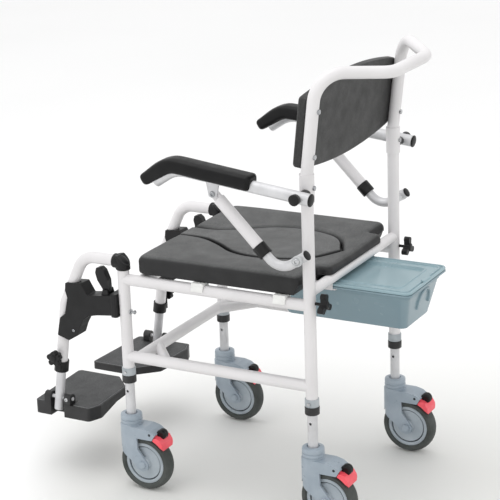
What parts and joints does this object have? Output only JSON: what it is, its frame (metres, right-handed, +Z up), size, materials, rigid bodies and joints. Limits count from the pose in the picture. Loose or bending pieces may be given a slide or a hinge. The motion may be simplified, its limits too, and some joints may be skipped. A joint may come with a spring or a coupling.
{
  "type": "commode chair",
  "caption": "Wheeled shower commode chair with swing-up arms, swing-away legrests, lift-off seat with keyhole insert and a slide-out pan.",
  "frame": {"origin": "on the floor, under the middle of the chair's bounding box", "axes": "+Z up, +X to the sitter's left hand, the sitter faces -Y"},
  "size_m": [0.55, 0.8716, 0.9664],
  "materials": {
    "white_enamel": "gloss powder coat",
    "telescoping_tube": "satin anodised",
    "steel_fastener": "bright",
    "grey_ferrule": "satin",
    "seat_skin": "fine pebble grain",
    "seat_insert_skin": "fine pebble grain",
    "black_plastic": "satin moulded",
    "pivot_plastic": "satin moulded",
    "arm_pad_skin": "soft textured",
    "footplate_plastic": "moulded, fine texture",
    "white_clip": "moulded",
    "caster_housing": "moulded",
    "wheel_centre": "moulded",
    "tyre": "fine matt rubber",
    "pedal_plastic": "moulded",
    "pan_plastic": "translucent moulded",
    "pan_lid_plastic": "translucent moulded"
  },
  "bodies": {
    "frame": {"side_frame_left": "white_enamel", "side_frame_right": "white_enamel", "front_cross_bar": "white_enamel", "seat_cross_rails": "white_enamel", "leg_collars": "grey_ferrule", "backrest_frame": "white_enamel", "backrest_pad": "seat_skin", "pivot_bolts": "pivot_plastic", "frame_screws": "steel_fastener"},
    "leg_front_left": {"leg_tube_front_left": "telescoping_tube"},
    "caster_front_left": {"caster_fork_front_left": "caster_housing"},
    "wheel_front_left": {"caster_wheel_front_left": "wheel_centre", "caster_tyre_front_left": "tyre"},
    "pedal_front_left": {"brake_pedal_front_left": "pedal_plastic"},
    "leg_front_right": {"leg_tube_front_right": "telescoping_tube"},
    "caster_front_right": {"caster_fork_front_right": "caster_housing"},
    "wheel_front_right": {"caster_wheel_front_right": "wheel_centre", "caster_tyre_front_right": "tyre"},
    "pedal_front_right": {"brake_pedal_front_right": "pedal_plastic"},
    "leg_rear_left": {"leg_tube_rear_left": "telescoping_tube"},
    "caster_rear_left": {"caster_fork_rear_left": "caster_housing"},
    "wheel_rear_left": {"caster_wheel_rear_left": "wheel_centre", "caster_tyre_rear_left": "tyre"},
    "pedal_rear_left": {"brake_pedal_rear_left": "pedal_plastic"},
    "leg_rear_right": {"leg_tube_rear_right": "telescoping_tube"},
    "caster_rear_right": {"caster_fork_rear_right": "caster_housing"},
    "wheel_rear_right": {"caster_wheel_rear_right": "wheel_centre", "caster_tyre_rear_right": "tyre"},
    "pedal_rear_right": {"brake_pedal_rear_right": "pedal_plastic"},
    "arm_left": {"arm_tube_left": "telescoping_tube", "arm_pad_left": "arm_pad_skin"},
    "strut_sleeve_left": {"strut_sleeve_left": "white_enamel", "strut_collar_left": "black_plastic"},
    "strut_rod_left": {"strut_rod_left": "telescoping_tube"},
    "hanger_left": {"hanger_tube_left": "white_enamel", "hanger_bracket_left": "black_plastic", "height_clamp_left": "black_plastic"},
    "lever_left": {"latch_lever_left": "black_plastic"},
    "clamp_knob_left": {"clamp_knob_left": "black_plastic"},
    "foot_tube_left": {"foot_tube_left": "telescoping_tube"},
    "footplate_left": {"footplate_left": "footplate_plastic"},
    "rear_knob_left": {"rear_lock_knob_left": "black_plastic"},
    "arm_right": {"arm_tube_right": "telescoping_tube", "arm_pad_right": "arm_pad_skin"},
    "strut_sleeve_right": {"strut_sleeve_right": "white_enamel", "strut_collar_right": "black_plastic"},
    "strut_rod_right": {"strut_rod_right": "telescoping_tube"},
    "hanger_right": {"hanger_tube_right": "white_enamel", "hanger_bracket_right": "black_plastic", "height_clamp_right": "black_plastic"},
    "lever_right": {"latch_lever_right": "black_plastic"},
    "clamp_knob_right": {"clamp_knob_right": "black_plastic"},
    "foot_tube_right": {"foot_tube_right": "telescoping_tube"},
    "footplate_right": {"footplate_right": "footplate_plastic"},
    "rear_knob_right": {"rear_lock_knob_right": "black_plastic"},
    "seat": {"seat_pad": "seat_skin", "seat_clips": "white_clip"},
    "seat_insert": {"seat_lid": "seat_insert_skin"},
    "pan": {"pan_bucket": "pan_plastic"},
    "pan_cover": {"pan_lid": "pan_lid_plastic"}
  },
  "joints": [
    {"name": "seat_lift_off", "type": "slide", "parent": "frame", "child": "seat", "axis": [0, 0, 1], "range_m": [0, 0.12]},
    {"name": "insert_lift_off", "type": "slide", "parent": "seat", "child": "seat_insert", "axis": [0, 0, 1], "range_m": [0, 0.08]},
    {"name": "pan_slide", "type": "slide", "parent": "frame", "child": "pan", "axis": [0, 1, 0], "range_m": [-0.187, 0.12]},
    {"name": "pan_cover_slide", "type": "slide", "parent": "pan", "child": "pan_cover", "axis": [0, 1, 0], "range_m": [0, 0.2]},
    {"name": "arm_lift_left", "type": "hinge", "parent": "frame", "child": "arm_left", "pos_m": [0.252, 0.26676, 0.718], "axis": [-1, 0, 0], "range_deg": [0, 88]},
    {"name": "strut_top_left", "type": "hinge", "parent": "arm_left", "child": "strut_sleeve_left", "pos_m": [0.246, 0.07326, 0.7055], "axis": [-1, 0, 0], "range_deg": [-37, 0]},
    {"name": "strut_foot_left", "type": "hinge", "parent": "frame", "child": "strut_rod_left", "pos_m": [0.246, 0.26376, 0.589], "axis": [-1, 0, 0], "range_deg": [0, 52]},
    {"name": "hanger_swing_left", "type": "hinge", "parent": "frame", "child": "hanger_left", "pos_m": [0.2095, -0.17924, 0.519], "axis": [0, 0, 1], "range_deg": [0, 95]},
    {"name": "latch_squeeze_left", "type": "hinge", "parent": "hanger_left", "child": "lever_left", "pos_m": [0.2105, -0.22074, 0.449], "axis": [-1, 0, 0], "range_deg": [0, 22]},
    {"name": "clamp_turn_left", "type": "hinge", "parent": "hanger_left", "child": "clamp_knob_left", "pos_m": [0.2308, -0.35125, 0.283], "axis": [1, 0, 0], "range_deg": [0, 360]},
    {"name": "footrest_height_left", "type": "slide", "parent": "hanger_left", "child": "foot_tube_left", "axis": [0, -0.1461, -0.9893], "range_m": [-0.02, 0.06]},
    {"name": "footplate_flip_left", "type": "hinge", "parent": "foot_tube_left", "child": "footplate_left", "pos_m": [0.2105, -0.36676, 0.178], "axis": [0, 1, 0], "range_deg": [0, 84]},
    {"name": "rear_knob_turn_left", "type": "hinge", "parent": "frame", "child": "rear_knob_left", "pos_m": [0.2095, 0.28376, 0.486], "axis": [0, 1, 0], "range_deg": [0, 360]},
    {"name": "arm_lift_right", "type": "hinge", "parent": "frame", "child": "arm_right", "pos_m": [-0.252, 0.26676, 0.718], "axis": [-1, 0, 0], "range_deg": [0, 88]},
    {"name": "strut_top_right", "type": "hinge", "parent": "arm_right", "child": "strut_sleeve_right", "pos_m": [-0.246, 0.07326, 0.7055], "axis": [-1, 0, 0], "range_deg": [-37, 0]},
    {"name": "strut_foot_right", "type": "hinge", "parent": "frame", "child": "strut_rod_right", "pos_m": [-0.246, 0.26376, 0.589], "axis": [-1, 0, 0], "range_deg": [0, 52]},
    {"name": "hanger_swing_right", "type": "hinge", "parent": "frame", "child": "hanger_right", "pos_m": [-0.2095, -0.17924, 0.519], "axis": [0, 0, -1], "range_deg": [0, 95]},
    {"name": "latch_squeeze_right", "type": "hinge", "parent": "hanger_right", "child": "lever_right", "pos_m": [-0.2105, -0.22074, 0.449], "axis": [-1, 0, 0], "range_deg": [0, 22]},
    {"name": "clamp_turn_right", "type": "hinge", "parent": "hanger_right", "child": "clamp_knob_right", "pos_m": [-0.2308, -0.35125, 0.283], "axis": [-1, 0, 0], "range_deg": [0, 360]},
    {"name": "footrest_height_right", "type": "slide", "parent": "hanger_right", "child": "foot_tube_right", "axis": [0, -0.1461, -0.9893], "range_m": [-0.02, 0.06]},
    {"name": "footplate_flip_right", "type": "hinge", "parent": "foot_tube_right", "child": "footplate_right", "pos_m": [-0.2105, -0.36676, 0.178], "axis": [0, -1, 0], "range_deg": [0, 84]},
    {"name": "rear_knob_turn_right", "type": "hinge", "parent": "frame", "child": "rear_knob_right", "pos_m": [-0.2095, 0.28376, 0.486], "axis": [0, 1, 0], "range_deg": [0, 360]},
    {"name": "leg_height_front_left", "type": "slide", "parent": "frame", "child": "leg_front_left", "axis": [0, 0, -1], "range_m": [-0.05, 0.05]},
    {"name": "caster_swivel_front_left", "type": "hinge", "parent": "leg_front_left", "child": "caster_front_left", "pos_m": [0.2095, -0.17924, 0.17], "axis": [0, 0, 1], "continuous": true},
    {"name": "wheel_spin_front_left", "type": "hinge", "parent": "caster_front_left", "child": "wheel_front_left", "pos_m": [0.2095, -0.14324, 0.0625], "axis": [1, 0, 0], "continuous": true},
    {"name": "brake_press_front_left", "type": "hinge", "parent": "caster_front_left", "child": "pedal_front_left", "pos_m": [0.2095, -0.12224, 0.136], "axis": [-1, 0, 0], "range_deg": [0, 4]},
    {"name": "leg_height_front_right", "type": "slide", "parent": "frame", "child": "leg_front_right", "axis": [0, 0, -1], "range_m": [-0.05, 0.05]},
    {"name": "caster_swivel_front_right", "type": "hinge", "parent": "leg_front_right", "child": "caster_front_right", "pos_m": [-0.2095, -0.17924, 0.17], "axis": [0, 0, 1], "continuous": true},
    {"name": "wheel_spin_front_right", "type": "hinge", "parent": "caster_front_right", "child": "wheel_front_right", "pos_m": [-0.2095, -0.14324, 0.0625], "axis": [1, 0, 0], "continuous": true},
    {"name": "brake_press_front_right", "type": "hinge", "parent": "caster_front_right", "child": "pedal_front_right", "pos_m": [-0.2095, -0.12224, 0.136], "axis": [-1, 0, 0], "range_deg": [0, 4]},
    {"name": "leg_height_rear_left", "type": "slide", "parent": "frame", "child": "leg_rear_left", "axis": [0, 0, -1], "range_m": [-0.05, 0.05]},
    {"name": "caster_swivel_rear_left", "type": "hinge", "parent": "leg_rear_left", "child": "caster_rear_left", "pos_m": [0.2095, 0.26376, 0.17], "axis": [0, 0, 1], "continuous": true},
    {"name": "wheel_spin_rear_left", "type": "hinge", "parent": "caster_rear_left", "child": "wheel_rear_left", "pos_m": [0.2095, 0.29976, 0.0625], "axis": [1, 0, 0], "continuous": true},
    {"name": "brake_press_rear_left", "type": "hinge", "parent": "caster_rear_left", "child": "pedal_rear_left", "pos_m": [0.2095, 0.32076, 0.136], "axis": [-1, 0, 0], "range_deg": [0, 4]},
    {"name": "leg_height_rear_right", "type": "slide", "parent": "frame", "child": "leg_rear_right", "axis": [0, 0, -1], "range_m": [-0.05, 0.05]},
    {"name": "caster_swivel_rear_right", "type": "hinge", "parent": "leg_rear_right", "child": "caster_rear_right", "pos_m": [-0.2095, 0.26376, 0.17], "axis": [0, 0, 1], "continuous": true},
    {"name": "wheel_spin_rear_right", "type": "hinge", "parent": "caster_rear_right", "child": "wheel_rear_right", "pos_m": [-0.2095, 0.29976, 0.0625], "axis": [1, 0, 0], "continuous": true},
    {"name": "brake_press_rear_right", "type": "hinge", "parent": "caster_rear_right", "child": "pedal_rear_right", "pos_m": [-0.2095, 0.32076, 0.136], "axis": [-1, 0, 0], "range_deg": [0, 4]}
  ],
  "couplings": [
    {"joint": "strut_top_left", "follows": "arm_lift_left", "ratio": -0.418},
    {"joint": "strut_foot_left", "follows": "arm_lift_left", "ratio": 0.582},
    {"joint": "strut_top_right", "follows": "arm_lift_right", "ratio": -0.418},
    {"joint": "strut_foot_right", "follows": "arm_lift_right", "ratio": 0.582}
  ]
}
